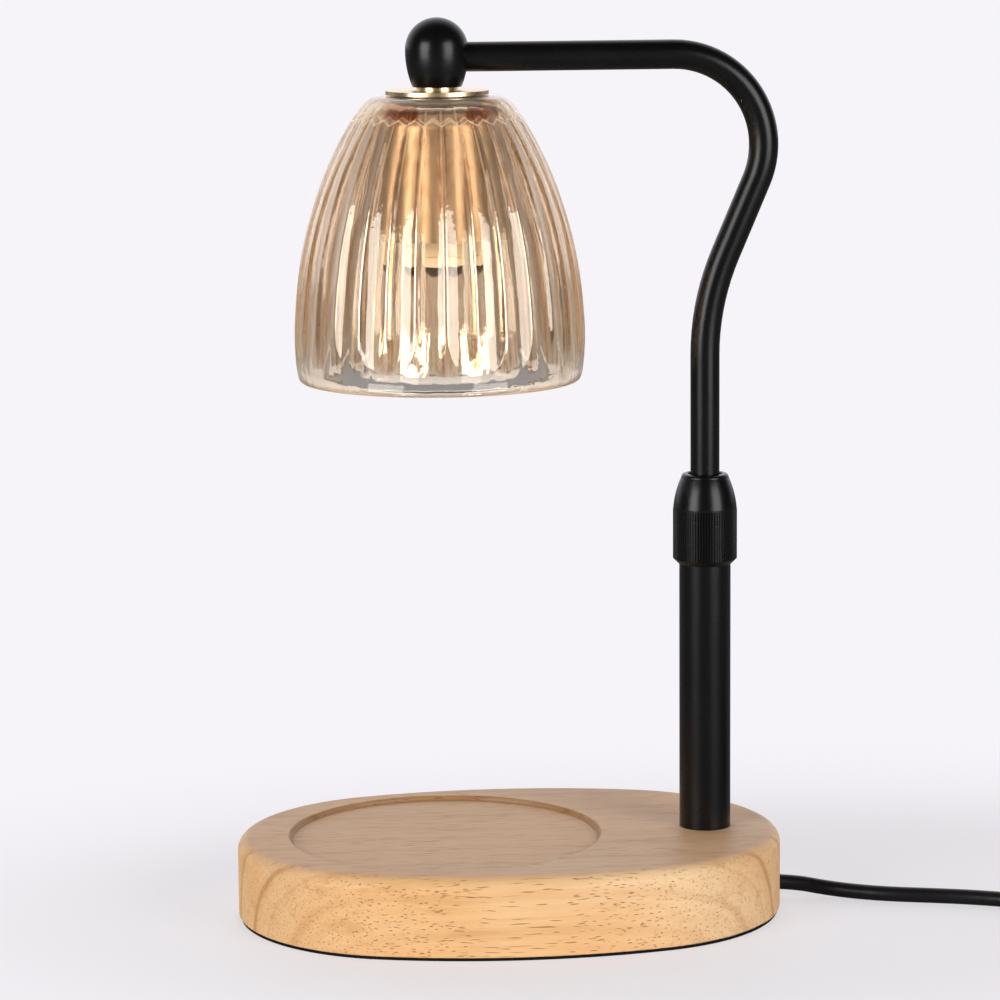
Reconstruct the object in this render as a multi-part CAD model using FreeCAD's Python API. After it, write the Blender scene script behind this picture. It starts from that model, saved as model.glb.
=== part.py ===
import FreeCAD, Part
import os
from math import atan2, cos, pi, radians, sin, sqrt, tan

os.makedirs("parts", exist_ok=True)

# Candle warmer lamp, in millimetres. The origin is the middle of the underside of the base,
# +X runs along the base towards the post, +Y to the back and +Z up.

# Base: an oval of four arcs on a thin foam pad
base_half_length = 85.0
base_half_width = 59.0
end_radius = 55.0
base_top = 25.5
pad_thickness = 1.0
pad_inset = 0.7
top_round = 4.0
bottom_round = 0.6
seat_radius = 48.4
seat_depth = 1.6
seat_floor_round = 1.0
seat_edge_round = 0.5

# Post and the hollow stud that bolts it down
post_x = 61.8
post_radius = 8.0
post_wall = 1.0
post_top = 119.0
socket_depth = 3.0
foot_plug_height = 5.2
stud_radius = 5.0
stud_bore = 2.75
stud_bottom = 8.6
nut_pocket_radius = 12.5
nut_pocket_top = 13.8
washer_thickness = 1.2
foot_nut_height = 3.7
nut_across_flats = 14.0

# Cord, and the hole through which it leaves the wood
cord_radius = 2.4
exit_height = 5.0
exit_y = 5.2
cord_hole_radius = 2.65
clip_x = post_x + 15.5
clip_half_width = 8.0
clip_screw_offset = 5.6
clip_roof = exit_height + cord_radius + 1.3
slack_bottom = base_top - socket_depth + foot_plug_height + 0.4
slack_radius = 4.8

# Ferrule, collet and the knurled collar that closes it
ferrule_bottom = 106.0
ferrule_flange = 1.4
ferrule_thread_radius = 7.2
ferrule_top = 127.6
collet_bottom = 122.4
collet_top = 130.6
collet_outer = 6.3
collet_slot = 1.2
ring_bottom = 130.7
ring_top = 132.0
collar_bottom = 109.3
knurl_bottom = 111.0
knurl_top = 126.5
knurl_radius = 9.95
knurl_depth = 0.28
knurl_count = 72
dome_base_radius = 9.85
dome_top = 137.5
dome_lip_radius = 6.3
collar_bore = 8.06
collar_thread_radius = 7.3

# Swan neck
neck_radius = 4.5
neck_wall = 1.0
neck_bottom = 66.0
lower_bend_start = 174.5
lower_bend_radius = 80.0
lean = 23.0
top_bend_radius = 27.8
arm_height = 266.9
lamp_x = -20.2
bush_bottom = 68.4
bush_top = 75.0
clip_thickness = 1.0

# Ball at the end of the arm
ball_top = 278.9
ball_bottom = 258.0
ball_radius = 9.6
ball_foot_radius = 7.5
ball_waist = (9.1, 263.4)

# Glass shade: the outline of its outside as radius and height, from the rim up
shade_outline = [(43.2, 168.6), (44.1, 173.3), (44.65, 184.0), (43.65, 198.0), (41.1, 212.8),
                 (36.45, 227.5), (29.8, 242.1), (23.8, 251.8)]
shade_top = 255.3
shade_flat_radius = 18.6
shade_wall = 3.0
shade_hole = 5.4
flute_count = 30
flute_radius = 9.0
flute_width_share = 0.97
flute_stations = [0.030, 0.080, 0.150, 0.250, 0.400, 0.550, 0.700, 0.820, 0.900, 0.955, 0.990]
flute_phase = -97.2

# Fittings that hang the glass and the lamp holder on a threaded nipple
nipple_radius = 5.0
nipple_bore = 3.6
nipple_top = 264.0
nipple_bottom = 243.5
gold_ring_radius = 6.33
flange_radius = 15.7
flange_thickness = 1.2
gasket_thickness = 0.4
lower_gasket_thickness = 0.8
cup_radius = 19.5
cup_wall = 0.8
cup_bottom = 212.0
cup_corner = 6.0
cup_nut_height = 3.0
bridge_thickness = 1.5
bridge_length = 28.0
bridge_width = 10.0
bridge_screw_spacing = 21.0
holder_radius = 13.5
holder_bottom = 218.6
pin_spacing = 10.0
pin_radius = 1.5
pin_head_radius = 2.5
bulb_twist = 25.0
holder_top = nipple_bottom - 0.3
contact_floor = 226.0
contact_roof = 238.0
lead_radius = 0.8
lead_level = 236.5

# Reflector bulb
bulb_face = 170.5
bulb_face_radius = 25.0
bulb_shoulder = 204.0
bulb_base_top = 217.9
bulb_base_radius = 11.8
reflector_waist = (22.3, 184.0)

# Inline dimmer
dimmer_start = 268.0
dimmer_length = 60.0
dimmer_width = 25.0
dimmer_height = 13.0
dimmer_y = -44.0
dimmer_wall = 1.5
relief_length = 16.0
wheel_radius = 14.2
wheel_thickness = 3.6
wheel_notches = 36
dimmer_x = dimmer_start + dimmer_length / 2
dimmer_mid = dimmer_height / 2
wheel_low = dimmer_mid - wheel_thickness / 2 + 0.6
relief_neck = 3.6
control_shaft = 3.0
board_low = 2.4
pillar_along = 23.0
pillar_across = 7.0

# Plug
plug_start = 322.0
plug_y = -13.0
plug_length = 30.0
plug_width = 24.0
plug_height = 17.0
blade_spacing = 12.7
plug_mid = plug_height / 2

# Cord routes, point by point, from the wood to the dimmer, on to the coil and on to the plug
floor_height = cord_radius + 0.1
route_to_dimmer = [(84.75, 5.2, 5.0), (92.0, 5.2, 4.5), (100.0, 3.4, 3.1), (109.5, -0.6, 2.5),
                   (120.0, -5.0, 2.5), (131.0, -7.8, 2.5), (142.0, -10.8, 2.5),
                   (153.0, -14.9, 2.5), (165.0, -21.2, 2.5), (178.0, -29.2, 2.5),
                   (193.0, -36.6, 2.5), (208.0, -41.2, 2.6), (221.0, -43.4, 3.4),
                   (232.0, -44.1, 5.0), (242.5, -44.0, 6.3), (252.0, -44.0, 6.5)]
route_to_coil = [(344.0, -44.0, 6.5), (353.5, -43.7, 6.3), (364.0, -40.4, 4.6),
                 (373.6, -33.0, 2.9), (380.9, -21.8, 2.5), (385.0, -7.4, 2.5),
                 (385.0, 8.2, 2.5), (381.0, 22.6, 2.5), (373.2, 34.2, 2.5), (362.3, 42.0, 2.5),
                 (349.0, 45.8, 2.5), (331.0, 46.4, 2.5), (312.5, 45.6, 2.5),
                 (293.5, 46.2, 2.5), (273.5, 45.7, 2.5), (254.8, 45.7, 2.5)]
route_to_plug = [(254.8, -25.7, 7.8), (263.5, -25.9, 7.7), (273.0, -25.1, 6.0),
                 (282.5, -22.6, 3.5), (291.5, -19.2, 2.6), (300.0, -15.9, 3.9),
                 (308.0, -13.7, 6.6), (315.0, -13.1, 8.2), (322.0, -13.0, 8.5)]

# Coil of the put-away length: it spirals in on the floor and out again on top
coil_x = 250.0
coil_y = 10.0
coil_outer = 35.7
coil_pitch = 5.6
coil_layer = 5.3
coil_turns = 5.5

shade_axis = FreeCAD.Vector(lamp_x, 0, 0)


def point(x, y, z):
    return FreeCAD.Vector(x, y, z)


def disc(radius, low, high, x=0.0, y=0.0):
    return Part.makeCylinder(radius, high - low, point(x, y, low))


def sleeve(outer, inner, low, high, x=0.0, y=0.0):
    return disc(outer, low, high, x, y).cut(disc(inner, low - 1, high + 1, x, y))


def box(x_range, y_range, z_range):
    size = [pair[1] - pair[0] for pair in (x_range, y_range, z_range)]
    return Part.makeBox(size[0], size[1], size[2], point(x_range[0], y_range[0], z_range[0]))


def hexagon(across_flats, low, high, x=0.0, y=0.0):
    corner = across_flats / 2 / cos(pi / 6)
    corners = [point(x + corner * cos(k * pi / 3), y + corner * sin(k * pi / 3), low)
               for k in range(7)]
    return Part.Face(Part.makePolygon(corners)).extrude(point(0, 0, high - low))


def turned(edges, x=0.0):
    """Solid of revolution about the upright line through x, from edges given as radius and height."""
    face = Part.Face(Part.Wire(edges))
    solid = face.revolve(point(0, 0, 0), point(0, 0, 1), 360)
    solid.translate(point(x, 0, 0))
    return solid


def line(start, end):
    return Part.makeLine(point(start[0], 0, start[1]), point(end[0], 0, end[1]))


def outline(*corners):
    closed = list(corners) + [corners[0]]
    return [line(first, second) for first, second in zip(closed, closed[1:])]


def bow(start, middle, end):
    return Part.Arc(point(start[0], 0, start[1]), point(middle[0], 0, middle[1]),
                    point(end[0], 0, end[1])).toShape()


def save(name, *solids):
    shape = solids[0] if len(solids) == 1 else Part.makeCompound(list(solids))
    assert shape.isValid(), name
    shape.exportStep("parts/" + name + ".step")


def oval_face(half_length, half_width, inset, height):
    """Oval face of two end arcs and two longer side arcs that meet them tangentially."""
    reach = half_length - end_radius
    rise = half_width - end_radius
    side_radius = (reach ** 2 + half_width ** 2 - end_radius ** 2) / (2 * rise)
    ends = end_radius - inset
    sides = side_radius - inset
    drop = side_radius - half_width
    slope = atan2(drop, reach)
    join_x = reach + ends * cos(slope)
    join_y = ends * sin(slope)
    right = Part.Arc(point(join_x, -join_y, height), point(reach + ends, 0, height),
                     point(join_x, join_y, height))
    back = Part.Arc(point(join_x, join_y, height), point(0, sides - drop, height),
                    point(-join_x, join_y, height))
    left = Part.Arc(point(-join_x, join_y, height), point(-reach - ends, 0, height),
                    point(-join_x, -join_y, height))
    front = Part.Arc(point(-join_x, -join_y, height), point(0, drop - sides, height),
                     point(join_x, -join_y, height))
    return Part.Face(Part.Wire([arc.toShape() for arc in (right, back, left, front)]))


def rounded_route(name, points):
    """Wire of straight runs joined by tangent arcs, each as large as its two runs allow."""
    corners = [point(*place) for place in points]
    edges = []
    radii = []
    start = corners[0]
    for before, corner, after in zip(corners, corners[1:], corners[2:]):
        back = before - corner
        ahead = after - corner
        run = min(back.Length, ahead.Length)
        turn = pi - back.getAngle(ahead)
        cut = 0.45 * run
        radii.append(cut / tan(turn / 2))
        back.normalize()
        ahead.normalize()
        enter = corner + back * cut
        leave = corner + ahead * cut
        inward = back + ahead
        inward.normalize()
        middle = corner + inward * (radii[-1] / cos(turn / 2) - radii[-1])
        edges.append(Part.makeLine(start, enter))
        edges.append(Part.Arc(enter, middle, leave).toShape())
        start = leave
    edges.append(Part.makeLine(start, corners[-1]))
    print(name, "radii", " ".join("%.0f" % radius for radius in radii))
    return Part.Wire(edges)


def swept(name, path, radius):
    """Round tube along a wire, with its volume set against its section times its length."""
    first = path.Edges[0]
    start = first.valueAt(first.FirstParameter)
    along = first.tangentAt(first.FirstParameter)
    section = Part.Wire(Part.Circle(start, along, radius).toShape())
    solid = path.makePipeShell([section], True, False)
    ratio = solid.Volume / (pi * radius ** 2 * path.Length)
    print(name, "length %.1f" % path.Length, "volume ratio %.3f" % ratio)
    return solid


def base_board():
    height = base_top - pad_thickness
    face = oval_face(base_half_length, base_half_width, 0.0, pad_thickness)
    wood = face.extrude(point(0, 0, height))
    top_edges = [edge for edge in wood.Edges if edge.BoundBox.ZMin > base_top - 0.01]
    wood = wood.makeFillet(top_round, top_edges)
    low_edges = [edge for edge in wood.Edges if edge.BoundBox.ZMax < pad_thickness + 0.01]
    wood = wood.makeFillet(bottom_round, low_edges)
    floor = base_top - seat_depth
    seat = turned([line((0, floor), (seat_radius - seat_floor_round, floor)),
                   quarter(seat_radius - seat_floor_round, floor + seat_floor_round,
                           seat_floor_round, -90),
                   line((seat_radius, floor + seat_floor_round),
                        (seat_radius, base_top - seat_edge_round)),
                   line((seat_radius, base_top - seat_edge_round),
                        (seat_radius + 2 * seat_edge_round, base_top + seat_edge_round)),
                   line((seat_radius + 2 * seat_edge_round, base_top + seat_edge_round),
                        (0, base_top + seat_edge_round)),
                   line((0, base_top + seat_edge_round), (0, floor))], lamp_x)
    wood = wood.cut(seat)
    wood = wood.cut(disc(post_radius + 0.05, base_top - socket_depth, base_top + 1, post_x))
    wood = wood.cut(disc(stud_radius + 0.15, 0, base_top, post_x))
    wood = wood.cut(disc(nut_pocket_radius, 0, nut_pocket_top, post_x))
    clip_pocket = box((post_x + 8, clip_x + 5.5), (exit_y - 11.5, exit_y + 9.5), (0, clip_roof))
    hole = Part.makeCylinder(cord_hole_radius, 40, point(post_x, exit_y, exit_height),
                             point(1, 0, 0))
    return wood.cut(clip_pocket).cut(hole)


def quarter(centre_r, centre_z, radius, start):
    """Quarter circle that starts at the given angle and turns to the left."""
    spots = []
    for step in (0, 45, 90):
        angle = radians(start + step)
        spots.append((centre_r + radius * cos(angle), centre_z + radius * sin(angle)))
    return bow(*spots)


def cord_clip():
    """Saddle over the cord in the base, with an ear on each side for a wood screw."""
    strap = 1.0
    length = 6.0
    inner = cord_radius + 0.02
    arch = Part.makeCylinder(inner + strap, length, point(clip_x - length / 2, exit_y, exit_height),
                             point(1, 0, 0))
    ears = box((clip_x - length / 2, clip_x + length / 2),
               (exit_y - clip_half_width, exit_y + clip_half_width),
               (clip_roof - 0.1 - strap, clip_roof - 0.1))
    hollow = Part.makeCylinder(inner, length + 2, point(clip_x - length / 2 - 1, exit_y,
                                                         exit_height), point(1, 0, 0))
    clip = arch.fuse(ears).cut(hollow)
    for side in (-1, 1):
        clip = clip.cut(disc(1.3, 0, base_top, clip_x, exit_y + side * clip_screw_offset))
    return clip.removeSplitter()


def clip_screws():
    screws = []
    for side in (-1, 1):
        y = exit_y + side * clip_screw_offset
        head = disc(2.4, clip_roof - 3.0, clip_roof - 1.1, clip_x, y)
        shank = disc(1.2, clip_roof - 1.2, clip_roof + 7.0, clip_x, y)
        screws.append(head.fuse(shank))
    return screws


def screw_holes(wood):
    for side in (-1, 1):
        wood = wood.cut(disc(1.25, clip_roof - 1, clip_roof + 7.5, clip_x,
                             exit_y + side * clip_screw_offset))
    return wood


def ferrule():
    """Threaded top fitting of the post: a spigot in the tube, a flange and a tapered seat."""
    inner = neck_radius + 0.06
    spigot = post_radius - post_wall
    flange_top = post_top + ferrule_flange
    return turned(outline((inner, ferrule_bottom), (spigot, ferrule_bottom), (spigot, post_top),
                          (post_radius, post_top), (post_radius, flange_top),
                          (ferrule_thread_radius, flange_top), (ferrule_thread_radius, ferrule_top),
                          (collet_outer + 0.1, ferrule_top), (inner + 0.6, collet_bottom - 0.1),
                          (inner, collet_bottom - 0.1)), post_x)


def collet():
    """Slit plastic sleeve that grips the neck when the collar pushes it into its seat."""
    inner = neck_radius + 0.05
    cone = turned(outline((inner, collet_bottom), (inner + 0.45, collet_bottom),
                          (collet_outer, ferrule_top), (collet_outer, collet_top - 1.2),
                          (collet_outer - 0.9, collet_top), (inner, collet_top)), post_x)
    for angle in (0, 120, 240):
        slit = box((neck_radius - 1, collet_outer + 2), (-collet_slot / 2, collet_slot / 2),
                   (collet_bottom + 2.2, collet_top + 1))
        slit.rotate(point(0, 0, 0), point(0, 0, 1), angle)
        slit.translate(point(post_x, 0, 0))
        cone = cone.cut(slit)
    return cone


def collar():
    """Collar with a knurled grip, a smooth dome above it and a threaded inside."""
    corners = []
    for tooth in range(knurl_count):
        for share, radius in ((0.0, knurl_radius - knurl_depth), (0.30, knurl_radius),
                              (0.70, knurl_radius)):
            angle = 2 * pi * (tooth + share) / knurl_count
            corners.append(point(radius * cos(angle), radius * sin(angle), knurl_bottom - 3))
    grip = Part.Face(Part.makePolygon(corners + [corners[0]]))
    grip = grip.extrude(point(0, 0, knurl_top - knurl_bottom + 6))
    foot_radius = knurl_radius - (knurl_bottom - collar_bottom)
    sleeve_form = turned(outline((0, collar_bottom), (foot_radius, collar_bottom),
                                 (knurl_radius + 0.2, knurl_bottom + 0.2),
                                 (knurl_radius + 0.2, knurl_top - 0.2),
                                 (knurl_radius - 0.2, knurl_top), (0, knurl_top)))
    grip = grip.common(sleeve_form)
    lip = 1.0
    dome = turned([line((0, knurl_top - 0.1), (dome_base_radius, knurl_top - 0.1)),
                   line((dome_base_radius, knurl_top - 0.1), (dome_base_radius, knurl_top + 0.6)),
                   bow((dome_base_radius, knurl_top + 0.6), (8.95, 131.9),
                       (dome_lip_radius + lip, dome_top - lip)),
                   quarter(dome_lip_radius, dome_top - lip, lip, 0),
                   line((dome_lip_radius, dome_top), (0, dome_top)),
                   line((0, dome_top), (0, knurl_top - 0.1))])
    inside = turned(outline((0, collar_bottom - 1), (collar_bore, collar_bottom - 1),
                            (collar_bore, post_top + ferrule_flange + 0.3),
                            (collar_thread_radius, post_top + ferrule_flange + 1.0),
                            (collar_thread_radius, ring_top + 0.1),
                            (neck_radius + 0.6, ring_top + 0.1), (neck_radius + 0.6, dome_top - 1),
                            (neck_radius + 1.2, dome_top + 1), (0, dome_top + 1)))
    solid = grip.fuse(dome).cut(inside)
    solid.translate(point(post_x, 0, 0))
    return solid


def neck_path(start, end_x):
    """Middle line of the swan neck, from a height in the post to a place along the arm."""
    tilt = radians(lean)
    bend_x = post_x + lower_bend_radius
    bend_end = (bend_x - lower_bend_radius * cos(tilt),
                lower_bend_start + lower_bend_radius * sin(tilt))
    half = tilt / 2
    bend_middle = (bend_x - lower_bend_radius * cos(half),
                   lower_bend_start + lower_bend_radius * sin(half))
    top_z = arm_height - top_bend_radius
    straight = (top_z - top_bend_radius * sin(tilt) - bend_end[1]) / cos(tilt)
    top_start = (bend_end[0] + straight * sin(tilt), bend_end[1] + straight * cos(tilt))
    top_x = top_start[0] - top_bend_radius * cos(tilt)
    middle_angle = (radians(90) - tilt) / 2
    top_middle = (top_x + top_bend_radius * cos(middle_angle),
                  top_z + top_bend_radius * sin(middle_angle))
    return Part.Wire([line((post_x, start), (post_x, lower_bend_start)),
                      bow((post_x, lower_bend_start), bend_middle, bend_end),
                      line(bend_end, top_start),
                      bow(top_start, top_middle, (top_x, arm_height)),
                      line((top_x, arm_height), (end_x, arm_height))])


def neck_tube():
    arm_end = lamp_x + 5.7
    outside = swept("neck outside", neck_path(neck_bottom, arm_end), neck_radius)
    inside = swept("neck inside", neck_path(neck_bottom, arm_end), neck_radius - neck_wall)
    return outside.cut(inside)


def ball():
    """Egg-shaped end piece with a side bore for the arm and a bore below for the nipple."""
    middle_z = ball_top - ball_radius
    side = Part.BSplineCurve()
    side.interpolate([point(radius, 0, height) for radius, height in
                      ((ball_foot_radius, ball_bottom), ball_waist, (ball_radius, middle_z))])
    body = turned([line((0, ball_top), (0, ball_bottom)),
                   line((0, ball_bottom), (ball_foot_radius, ball_bottom)),
                   side.toShape(),
                   quarter(0, middle_z, ball_radius, 0)], lamp_x)
    # the seam of the turned form is moved away from the side bore
    body.rotate(shade_axis, point(0, 0, 1), 90)
    body = body.cut(disc(nipple_radius, ball_bottom - 1, nipple_top + 0.2, lamp_x))
    body = body.cut(disc(nipple_bore - 0.3, ball_bottom, arm_height, lamp_x))
    socket = Part.makeCylinder(neck_radius, 20, point(lamp_x + 5.6, 0, arm_height), point(1, 0, 0))
    way = Part.makeCylinder(neck_radius - neck_wall, 20, point(lamp_x, 0, arm_height),
                            point(1, 0, 0))
    hollow = Part.makeSphere(neck_radius - neck_wall + 0.3, point(lamp_x, 0, arm_height))
    hollow.rotate(point(lamp_x, 0, arm_height), point(0, 0, 1), 90)
    body = body.cut(hollow)
    return body.cut(socket).cut(way)


def shade_curves():
    """Outside and inside curves of the glass wall, from the rim up to the shoulder."""
    outer = Part.BSplineCurve()
    outer.interpolate([point(radius, 0, height) for radius, height in shade_outline])
    inner_points = []
    steps = 8
    for step in range(steps + 1):
        place, normal = along_shade(outer, step / steps)
        inner_points.append(place - normal * shade_wall)
    inner_points[0].z = shade_outline[0][1]
    inner = Part.BSplineCurve()
    inner.interpolate(inner_points)
    return outer, inner


def along_shade(curve, share):
    """Place on the glass outline at a share of its length, and the direction out of it."""
    spot = curve.FirstParameter + share * (curve.LastParameter - curve.FirstParameter)
    along = curve.tangent(spot)[0]
    return curve.value(spot), point(along.z, 0, -along.x)


def flute_cutter(curve):
    """Round bar bent along the glass, that sinks into it and rises out at both ends."""
    path_points = []
    for share in flute_stations:
        place, normal = along_shade(curve, share)
        pitch = 2 * pi * place.x / flute_count
        depth = (flute_width_share * pitch) ** 2 / (8 * flute_radius)
        fade_low = min(1.0, (share - 0.045) / 0.155)
        fade_high = min(1.0, (0.975 - share) / 0.055)
        depth = depth * min(fade_low, fade_high)
        path_points.append(place + normal * (flute_radius - depth))
    path = Part.BSplineCurve()
    path.interpolate(path_points)
    start = path.value(path.FirstParameter)
    along = path.tangent(path.FirstParameter)[0]
    section = Part.Wire(Part.Circle(start, along, flute_radius).toShape())
    return Part.Wire(path.toShape()).makePipeShell([section], True, False)


def glass_shade():
    """Bell of glass, made of equal slices that each carry one hollow flute."""
    outer, inner = shade_curves()
    slice_angle = 360.0 / flute_count
    shoulder = shade_outline[-1]
    inner_top = inner.value(inner.LastParameter)
    roof = shade_top - shade_wall
    edges = [outer.toShape(),
             bow(shoulder, ((shoulder[0] + shade_flat_radius) / 2 + 0.75,
                            (shoulder[1] + shade_top) / 2 + 0.85),
                 (shade_flat_radius, shade_top)),
             line((shade_flat_radius, shade_top), (shade_hole, shade_top)),
             line((shade_hole, shade_top), (shade_hole, roof)),
             line((shade_hole, roof), (shade_flat_radius - 1.6, roof)),
             line((shade_flat_radius - 1.6, roof), (inner_top.x, inner_top.z)),
             inner.toShape(),
             line((inner.value(inner.FirstParameter).x, shade_outline[0][1]), shade_outline[0])]
    face = Part.Face(Part.Wire(Part.__sortEdges__(edges)))
    face.rotate(point(0, 0, 0), point(0, 0, 1), -slice_angle / 2)
    wedge = face.revolve(point(0, 0, 0), point(0, 0, 1), slice_angle)
    wedge = wedge.cut(flute_cutter(outer))
    half = radians(slice_angle / 2)
    skin = []
    for side in wedge.Faces:
        middle = side.CenterOfMass
        flat = isinstance(side.Surface, Part.Plane)
        if flat and abs(abs(atan2(middle.y, middle.x)) - half) < 0.001:
            continue
        skin.append(side)
    faces = []
    for step in range(flute_count):
        for side in skin:
            copy = side.copy()
            copy.rotate(point(0, 0, 0), point(0, 0, 1), flute_phase + step * slice_angle)
            faces.append(copy)
    shell = Part.makeShell(faces)
    shell.sewShape(0.001)
    solid = Part.makeSolid(Part.Shell(shell.Faces))
    if solid.Volume < 0:
        solid.reverse()
    solid.translate(shade_axis)
    print("shade faces", len(solid.Faces), "closed", solid.isClosed(), "volume", solid.Volume)
    return solid


def holder_cup():
    roof = cup_roof()
    low_corner = cup_corner - cup_wall
    outside = [line((0, roof), (0, cup_bottom)), line((0, cup_bottom), (cup_radius, cup_bottom)),
               line((cup_radius, cup_bottom), (cup_radius, roof - cup_corner)),
               quarter(cup_radius - cup_corner, roof - cup_corner, cup_corner, 0),
               line((cup_radius - cup_corner, roof), (0, roof))]
    inner = cup_radius - cup_wall
    under = roof - cup_wall
    inside = [line((0, under), (0, cup_bottom - 1)),
              line((0, cup_bottom - 1), (inner, cup_bottom - 1)),
              line((inner, cup_bottom - 1), (inner, under - low_corner)),
              quarter(inner - low_corner, under - low_corner, low_corner, 0),
              line((inner - low_corner, under), (0, under))]
    shell = turned(outside, lamp_x).cut(turned(inside, lamp_x))
    return shell.cut(disc(nipple_radius + 0.1, under - 1, roof + 1, lamp_x))


def cup_roof():
    return shade_top - shade_wall - lower_gasket_thickness


def lamp_holder():
    """Ceramic holder with a keyhole track for each pin and a room above for the contacts."""
    top = holder_top
    body = disc(holder_radius, holder_bottom, top, 0)
    edges = [edge for edge in body.Edges if edge.BoundBox.ZLength < 0.01]
    body = body.makeFillet(1.0, edges)
    body = body.cut(disc(3.9, contact_floor, top + 1))
    body = body.cut(box((-9, 9), (-3.4, 3.4), (contact_floor, contact_roof)))
    ring = sleeve(pin_spacing / 2 + pin_head_radius + 0.3, pin_spacing / 2 - pin_head_radius - 0.3,
                  holder_bottom - 1, contact_floor + 0.5)
    for start in (0, 180):
        track = pie(start - 3, start + bulb_twist + 3, 12, holder_bottom - 1, contact_floor + 0.5)
        body = body.cut(ring.common(track))
        for angle in (start, start + bulb_twist):
            body = body.cut(disc(pin_head_radius + 0.3, holder_bottom - 1, contact_floor + 0.5,
                                 pin_spacing / 2 * cos(radians(angle)),
                                 pin_spacing / 2 * sin(radians(angle))))
    for side in (-1, 1):
        body = body.cut(disc(1.5, top - 6.5, top + 1, 0, side * bridge_screw_spacing / 2))
    body.translate(shade_axis)
    return body


def pie(start, end, radius, low, high):
    slab = Part.makeCylinder(radius, high - low, point(0, 0, low), point(0, 0, 1), end - start)
    slab.rotate(point(0, 0, 0), point(0, 0, 1), start)
    return slab


def holder_contacts():
    """Two spring leaves, one above each pin."""
    leaves = []
    for side in (-1, 1):
        x = lamp_x + side * pin_spacing / 2
        foot = box((x - 2.6, x + 2.6), (-2.8, 2.8), (contact_floor + 0.3, contact_floor + 1.0))
        post = box((x + side * 1.4 - 0.5, x + side * 1.4 + 0.5), (-2.2, 2.2),
                   (contact_floor + 0.9, lead_level - 0.9))
        leaves.append(foot.fuse(post))
    return leaves


def holder_leads():
    """Two insulated wires from the cable's end in the ball down to the contacts."""
    wires = []
    for side in (-1, 1):
        y = side * 1.0
        bend = 2.6
        wobble = bend * (1 - cos(radians(45)))
        path = Part.Wire([
            Part.makeLine(point(lamp_x + 4.6, y, arm_height), point(lamp_x + bend, y, arm_height)),
            Part.Arc(point(lamp_x + bend, y, arm_height),
                     point(lamp_x + wobble, y, arm_height - wobble),
                     point(lamp_x, y, arm_height - bend)).toShape(),
            Part.makeLine(point(lamp_x, y, arm_height - bend), point(lamp_x, y, lead_level + bend)),
            Part.Arc(point(lamp_x, y, lead_level + bend),
                     point(lamp_x + side * wobble, y, lead_level + wobble),
                     point(lamp_x + side * bend, y, lead_level)).toShape(),
            Part.makeLine(point(lamp_x + side * bend, y, lead_level),
                          point(lamp_x + side * 6.4, y, lead_level))])
        wires.append(swept("lead", path, lead_radius))
    return wires


def bulb_reflector():
    wall = 1.2
    face = bulb_face + 2.4
    waist_r, waist_z = reflector_waist
    outer = [(bulb_face_radius, face), reflector_waist, (bulb_base_radius, bulb_shoulder)]
    inner = [(bulb_face_radius - wall, face), (waist_r - wall, waist_z),
             (bulb_base_radius - wall - 0.4, bulb_shoulder)]
    return turned([bow(*outer), line(outer[2], inner[2]), bow(*reversed(inner)),
                   line(inner[0], outer[0])], lamp_x)


def bulb_lens():
    low = bulb_face + 0.6
    top = bulb_face + 2.4
    edge = bulb_face_radius - 0.3
    return turned([line((0, top), (0, bulb_face)), bow((0, bulb_face), (edge / 2, bulb_face + 0.15),
                                                      (edge, low)),
                   line((edge, low), (edge, top)), line((edge, top), (0, top))], lamp_x)


def bulb_base():
    """Ceramic cap of the bulb: a stem inside the reflector, a shoulder and a waisted block."""
    block = turned(outline((0, bulb_shoulder), (bulb_base_radius, bulb_shoulder),
                           (bulb_base_radius, bulb_base_top - 1.2),
                           (bulb_base_radius - 1.2, bulb_base_top), (0, bulb_base_top)))
    for side in (-1, 1):
        reach = (side * 8.2, side * 20)
        block = block.cut(box((-20, 20), (min(reach), max(reach)), (207.0, 230.0)))
    stem = disc(6.2, 196.0, bulb_shoulder + 0.1)
    block = block.fuse(stem).cut(disc(3.2, 190.0, 202.0))
    for side in (-1, 1):
        block = block.cut(disc(pin_radius, bulb_base_top - 4.0, bulb_base_top + 1,
                               side * pin_spacing / 2))
    block.translate(shade_axis)
    return block


def bulb_pins():
    top = contact_floor - 0.5
    pins = []
    for side in (-1, 1):
        x = lamp_x + side * pin_spacing / 2
        shank = disc(pin_radius, bulb_base_top - 4.0, top - 1.0, x)
        head = disc(pin_head_radius, top - 2.6, top, x)
        pins.append(shank.fuse(head))
    return pins


def bulb_capsule():
    low = 181.0
    radius = 3.0
    return turned([line((0, 201.8), (0, low)), quarter(0, low + radius, radius, -90),
                   line((radius, low + radius), (radius, 201.8)),
                   line((radius, 201.8), (0, 201.8))], lamp_x)


def dimmer_block(inset, low, high):
    """Rounded slab in the dimmer's outline, drawn in by an inset."""
    half_length = dimmer_length / 2 - inset
    half_width = dimmer_width / 2 - inset
    corner = 7.0 - inset
    slab = box((dimmer_x - half_length, dimmer_x + half_length),
               (dimmer_y - half_width, dimmer_y + half_width), (low, high))
    edges = [edge for edge in slab.Edges if edge.BoundBox.ZLength > high - low - 0.01]
    return slab.makeFillet(corner, edges)


def dimmer_mouth(x, direction):
    """Half-round way through the end wall for the cord's sleeve."""
    return Part.makeCylinder(relief_neck, 8, point(x, dimmer_y, dimmer_mid),
                             point(direction, 0, 0))


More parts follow.
